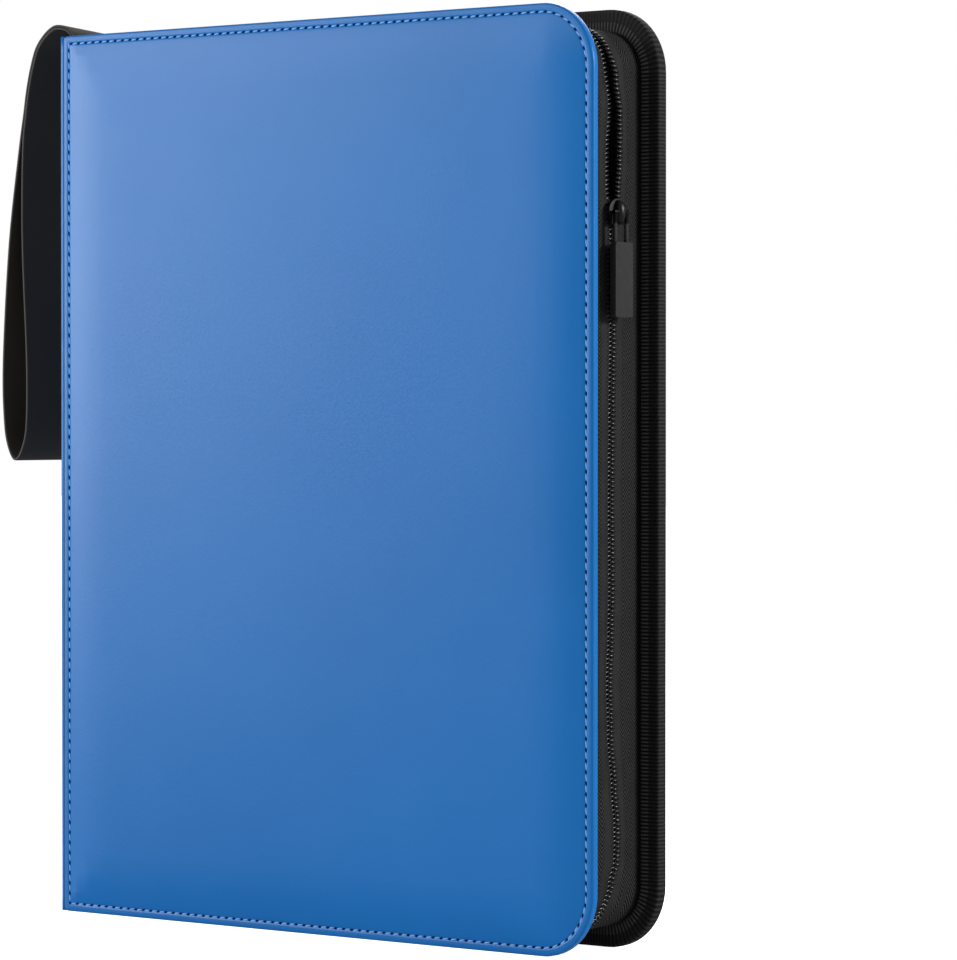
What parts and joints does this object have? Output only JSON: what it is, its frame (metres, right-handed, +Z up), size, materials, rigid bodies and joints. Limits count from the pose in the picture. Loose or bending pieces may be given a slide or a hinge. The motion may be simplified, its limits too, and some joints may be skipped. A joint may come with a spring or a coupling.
{
  "type": "trading card binder",
  "caption": "Zip-round padded leather binder for trading cards: two hinged covers on a slim spine, fixed pocket leaves that fan open, coil zip with slider and pull, wrist strap.",
  "frame": {"origin": "middle of the foot of the spine, on the plane the closed case stands on", "axes": "+Z up the spine, +X from the spine to the fore edge, -Y out of the front cover, +Y out of the back cover"},
  "size_m": [0.3055, 0.046, 0.351],
  "materials": {
    "blue_leather": "soft, padded, fine grain",
    "greyboard": "stiff board",
    "foam": "thin foam",
    "black_cloth": "plain lining cloth",
    "black_tape": "woven tape",
    "nylon_coil": "black nylon",
    "slider_paint": "black gloss",
    "link_steel": "dark nickel",
    "tab_rubber": "matt grey",
    "strap_leather": "smooth charcoal",
    "leaf_film": "black backing under clear film"
  },
  "bodies": {
    "spine": {"spine_skin": "blue_leather", "spine_board": "greyboard", "spine_lining": "black_cloth", "page_strip": "black_cloth", "strap_anchor": "strap_leather", "front_crease": "blue_leather", "back_crease": "blue_leather"},
    "front_cover": {"front_skin": "blue_leather", "front_foam": "foam", "front_board": "greyboard", "front_lining": "black_cloth", "front_binding": "black_tape", "front_tape": "black_tape", "front_coil": "nylon_coil", "front_stops": "nylon_coil"},
    "back_cover": {"back_skin": "blue_leather", "back_foam": "foam", "back_board": "greyboard", "back_lining": "black_cloth", "back_binding": "black_tape", "back_tape": "black_tape", "back_coil": "nylon_coil", "back_stops": "nylon_coil"},
    "slider": {"slider_body": "slider_paint"},
    "pull": {"pull_link": "link_steel", "pull_tab": "tab_rubber"},
    "strap": {"strap_loop": "strap_leather"},
    "leaf_01": {"leaf_01": "leaf_film"},
    "leaf_02": {"leaf_02": "leaf_film"},
    "leaf_03": {"leaf_03": "leaf_film"},
    "leaf_04": {"leaf_04": "leaf_film"},
    "leaf_05": {"leaf_05": "leaf_film"},
    "leaf_06": {"leaf_06": "leaf_film"},
    "leaf_07": {"leaf_07": "leaf_film"},
    "leaf_08": {"leaf_08": "leaf_film"},
    "leaf_09": {"leaf_09": "leaf_film"},
    "leaf_10": {"leaf_10": "leaf_film"},
    "leaf_11": {"leaf_11": "leaf_film"},
    "leaf_12": {"leaf_12": "leaf_film"},
    "leaf_13": {"leaf_13": "leaf_film"},
    "leaf_14": {"leaf_14": "leaf_film"},
    "leaf_15": {"leaf_15": "leaf_film"},
    "leaf_16": {"leaf_16": "leaf_film"},
    "leaf_17": {"leaf_17": "leaf_film"},
    "leaf_18": {"leaf_18": "leaf_film"},
    "leaf_19": {"leaf_19": "leaf_film"},
    "leaf_20": {"leaf_20": "leaf_film"}
  },
  "joints": [
    {"name": "front_hinge", "type": "hinge", "parent": "spine", "child": "front_cover", "pos_m": [0.0005, -0.021, 0.1725], "axis": [0, 0, -1], "range_deg": [0, 90], "deforming": ["front_crease"]},
    {"name": "back_hinge", "type": "hinge", "parent": "spine", "child": "back_cover", "pos_m": [0.0005, 0.021, 0.1725], "axis": [0, 0, 1], "range_deg": [0, 90], "deforming": ["back_crease"]},
    {"name": "slider_run", "type": "slide", "parent": "back_cover", "child": "slider", "axis": [0, 0, 1], "range_m": [-0.225, 0.04]},
    {"name": "pull_swing", "type": "hinge", "parent": "slider", "child": "pull", "pos_m": [0.2637, 0, 0.2697], "axis": [0, -1, 0], "range_deg": [0, 165]},
    {"name": "strap_swing", "type": "hinge", "parent": "spine", "child": "strap", "pos_m": [0.00015, -0.0015, 0.3461], "axis": [0, 1, 0], "range_deg": [0, 115]},
    {"name": "leaf_01_turn", "type": "hinge", "parent": "spine", "child": "leaf_01", "pos_m": [0.00468, -0.01663, 0.1725], "axis": [0, 0, -1], "range_deg": [0, 83.71]},
    {"name": "leaf_02_turn", "type": "hinge", "parent": "spine", "child": "leaf_02", "pos_m": [0.00548, -0.01487, 0.1725], "axis": [0, 0, -1], "range_deg": [0, 75.01]},
    {"name": "leaf_03_turn", "type": "hinge", "parent": "spine", "child": "leaf_03", "pos_m": [0.00617, -0.01312, 0.1725], "axis": [0, 0, -1], "range_deg": [0, 66.3]},
    {"name": "leaf_04_turn", "type": "hinge", "parent": "spine", "child": "leaf_04", "pos_m": [0.00676, -0.01137, 0.1725], "axis": [0, 0, -1], "range_deg": [0, 57.6]},
    {"name": "leaf_05_turn", "type": "hinge", "parent": "spine", "child": "leaf_05", "pos_m": [0.00726, -0.00962, 0.1725], "axis": [0, 0, -1], "range_deg": [0, 48.9]},
    {"name": "leaf_06_turn", "type": "hinge", "parent": "spine", "child": "leaf_06", "pos_m": [0.00768, -0.00788, 0.1725], "axis": [0, 0, -1], "range_deg": [0, 40.2]},
    {"name": "leaf_07_turn", "type": "hinge", "parent": "spine", "child": "leaf_07", "pos_m": [0.008, -0.00613, 0.1725], "axis": [0, 0, -1], "range_deg": [0, 31.49]},
    {"name": "leaf_08_turn", "type": "hinge", "parent": "spine", "child": "leaf_08", "pos_m": [0.00825, -0.00438, 0.1725], "axis": [0, 0, -1], "range_deg": [0, 22.79]},
    {"name": "leaf_09_turn", "type": "hinge", "parent": "spine", "child": "leaf_09", "pos_m": [0.00841, -0.00263, 0.1725], "axis": [0, 0, -1], "range_deg": [0, 14.09]},
    {"name": "leaf_10_turn", "type": "hinge", "parent": "spine", "child": "leaf_10", "pos_m": [0.00849, -0.00088, 0.1725], "axis": [0, 0, -1], "range_deg": [0, 5.38]},
    {"name": "leaf_11_turn", "type": "hinge", "parent": "spine", "child": "leaf_11", "pos_m": [0.00849, 0.00088, 0.1725], "axis": [0, 0, 1], "range_deg": [0, 5.38]},
    {"name": "leaf_12_turn", "type": "hinge", "parent": "spine", "child": "leaf_12", "pos_m": [0.00841, 0.00263, 0.1725], "axis": [0, 0, 1], "range_deg": [0, 14.09]},
    {"name": "leaf_13_turn", "type": "hinge", "parent": "spine", "child": "leaf_13", "pos_m": [0.00825, 0.00438, 0.1725], "axis": [0, 0, 1], "range_deg": [0, 22.79]},
    {"name": "leaf_14_turn", "type": "hinge", "parent": "spine", "child": "leaf_14", "pos_m": [0.008, 0.00613, 0.1725], "axis": [0, 0, 1], "range_deg": [0, 31.49]},
    {"name": "leaf_15_turn", "type": "hinge", "parent": "spine", "child": "leaf_15", "pos_m": [0.00768, 0.00788, 0.1725], "axis": [0, 0, 1], "range_deg": [0, 40.2]},
    {"name": "leaf_16_turn", "type": "hinge", "parent": "spine", "child": "leaf_16", "pos_m": [0.00726, 0.00962, 0.1725], "axis": [0, 0, 1], "range_deg": [0, 48.9]},
    {"name": "leaf_17_turn", "type": "hinge", "parent": "spine", "child": "leaf_17", "pos_m": [0.00676, 0.01137, 0.1725], "axis": [0, 0, 1], "range_deg": [0, 57.6]},
    {"name": "leaf_18_turn", "type": "hinge", "parent": "spine", "child": "leaf_18", "pos_m": [0.00617, 0.01312, 0.1725], "axis": [0, 0, 1], "range_deg": [0, 66.3]},
    {"name": "leaf_19_turn", "type": "hinge", "parent": "spine", "child": "leaf_19", "pos_m": [0.00548, 0.01487, 0.1725], "axis": [0, 0, 1], "range_deg": [0, 75.01]},
    {"name": "leaf_20_turn", "type": "hinge", "parent": "spine", "child": "leaf_20", "pos_m": [0.00468, 0.01663, 0.1725], "axis": [0, 0, 1], "range_deg": [0, 83.71]}
  ],
  "couplings": [
    {"joint": "leaf_01_turn", "follows": "front_hinge", "ratio": 0.93},
    {"joint": "leaf_02_turn", "follows": "front_hinge", "ratio": 0.8333},
    {"joint": "leaf_03_turn", "follows": "front_hinge", "ratio": 0.7366},
    {"joint": "leaf_04_turn", "follows": "front_hinge", "ratio": 0.6399},
    {"joint": "leaf_05_turn", "follows": "front_hinge", "ratio": 0.5432},
    {"joint": "leaf_06_turn", "follows": "front_hinge", "ratio": 0.4465},
    {"joint": "leaf_07_turn", "follows": "front_hinge", "ratio": 0.3498},
    {"joint": "leaf_08_turn", "follows": "front_hinge", "ratio": 0.2531},
    {"joint": "leaf_09_turn", "follows": "front_hinge", "ratio": 0.1564},
    {"joint": "leaf_10_turn", "follows": "front_hinge", "ratio": 0.0597},
    {"joint": "leaf_11_turn", "follows": "back_hinge", "ratio": 0.0597},
    {"joint": "leaf_12_turn", "follows": "back_hinge", "ratio": 0.1564},
    {"joint": "leaf_13_turn", "follows": "back_hinge", "ratio": 0.2531},
    {"joint": "leaf_14_turn", "follows": "back_hinge", "ratio": 0.3498},
    {"joint": "leaf_15_turn", "follows": "back_hinge", "ratio": 0.4465},
    {"joint": "leaf_16_turn", "follows": "back_hinge", "ratio": 0.5432},
    {"joint": "leaf_17_turn", "follows": "back_hinge", "ratio": 0.6399},
    {"joint": "leaf_18_turn", "follows": "back_hinge", "ratio": 0.7366},
    {"joint": "leaf_19_turn", "follows": "back_hinge", "ratio": 0.8333},
    {"joint": "leaf_20_turn", "follows": "back_hinge", "ratio": 0.93}
  ]
}
